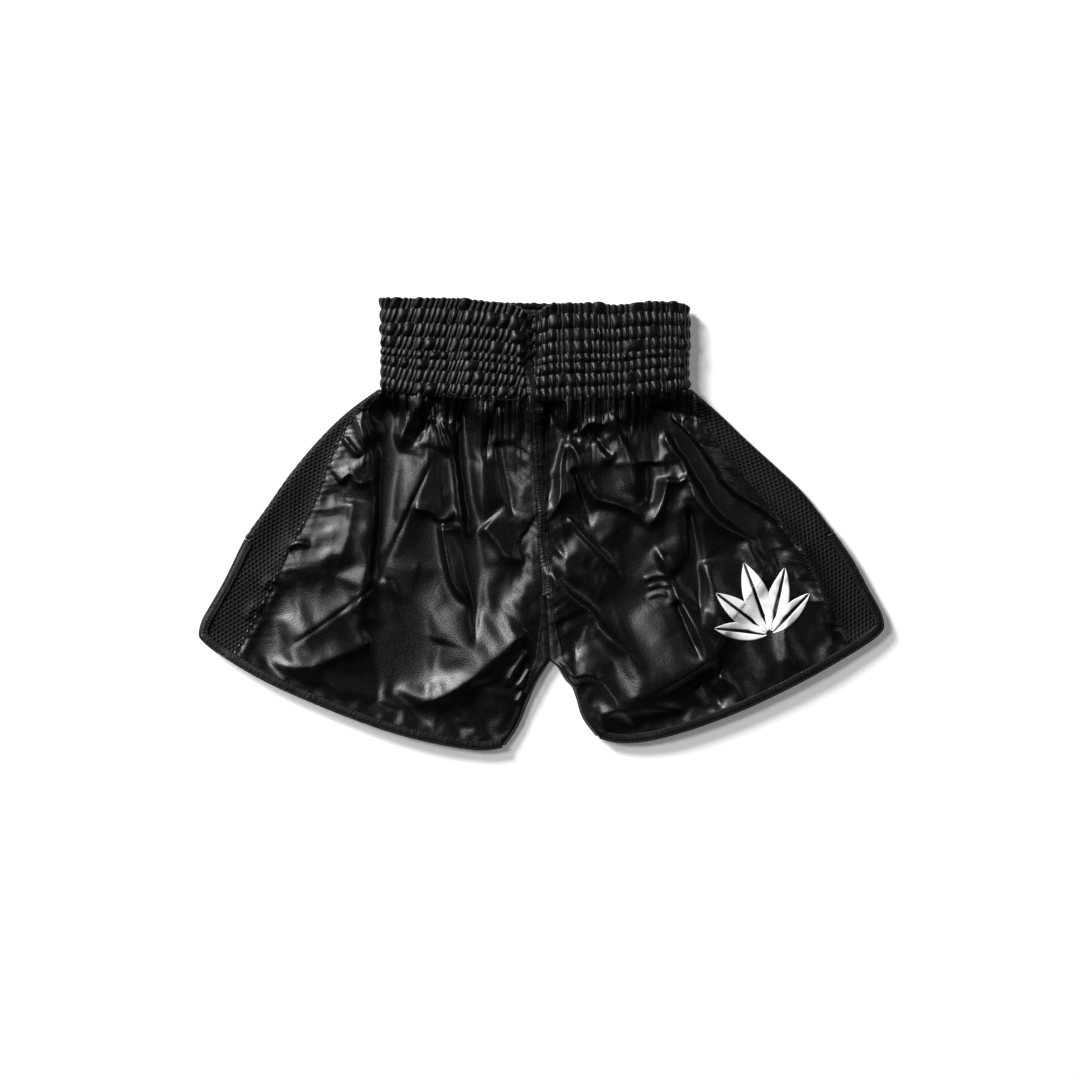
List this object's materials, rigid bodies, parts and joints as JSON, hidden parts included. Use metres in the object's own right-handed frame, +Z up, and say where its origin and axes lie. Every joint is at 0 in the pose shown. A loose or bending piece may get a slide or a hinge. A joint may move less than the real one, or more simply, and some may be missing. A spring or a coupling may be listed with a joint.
{
  "type": "boxing shorts",
  "caption": "Loose Thai-cut boxing shorts in satin with a gathered elastic waistband, mesh side panels, bound hems and side vents, laid flat front up.",
  "frame": {"origin": "middle of the underside of the bounding box, as the shorts lie on their back", "axes": "+X towards the wearer's left, +Y towards the waist, +Z up out of the front"},
  "size_m": [0.6614, 0.4366, 0.0264],
  "materials": {
    "satin": "glossy black satin",
    "lining": "black satin, the cover's turned-in half",
    "mesh": "matt black air mesh",
    "binding": "folded black satin tape",
    "thread": "black overlock thread",
    "elastic": "knitted elastic",
    "embroidery": "white satin stitch"
  },
  "bodies": {
    "right_half": {"front_panel_right": "satin", "back_panel_right": "satin", "side_mesh_right": "mesh", "crotch_gusset_right": "satin", "inseam_right": "satin", "hem_binding_front_right": "binding", "hem_binding_back_right": "binding", "vent_tack_right": "thread", "waistband_cover_right": "satin", "waistband_lining_right": "lining", "centre_front_seam": "thread", "centre_back_seam": "thread", "waist_elastic_1": "elastic", "waist_elastic_2": "elastic", "waist_elastic_3": "elastic", "waist_elastic_4": "elastic", "waist_elastic_5": "elastic", "waist_elastic_6": "elastic", "waist_elastic_7": "elastic", "waist_elastic_8": "elastic"},
    "left_half": {"front_panel_left": "satin", "back_panel_left": "satin", "side_mesh_left": "mesh", "crotch_gusset_left": "satin", "inseam_left": "satin", "hem_binding_front_left": "binding", "hem_binding_back_left": "binding", "vent_tack_left": "thread", "waistband_cover_left": "satin", "waistband_lining_left": "lining", "emblem": "embroidery"}
  },
  "joints": [
    {"name": "fold_in_half", "type": "hinge", "parent": "right_half", "child": "left_half", "pos_m": [-0.003, 0, 0.0265], "axis": [0, -1, 0], "range_deg": [0, 180], "deforming": ["waist_elastic_1", "waist_elastic_2", "waist_elastic_3", "waist_elastic_4", "waist_elastic_5", "waist_elastic_6", "waist_elastic_7", "waist_elastic_8"]}
  ]
}
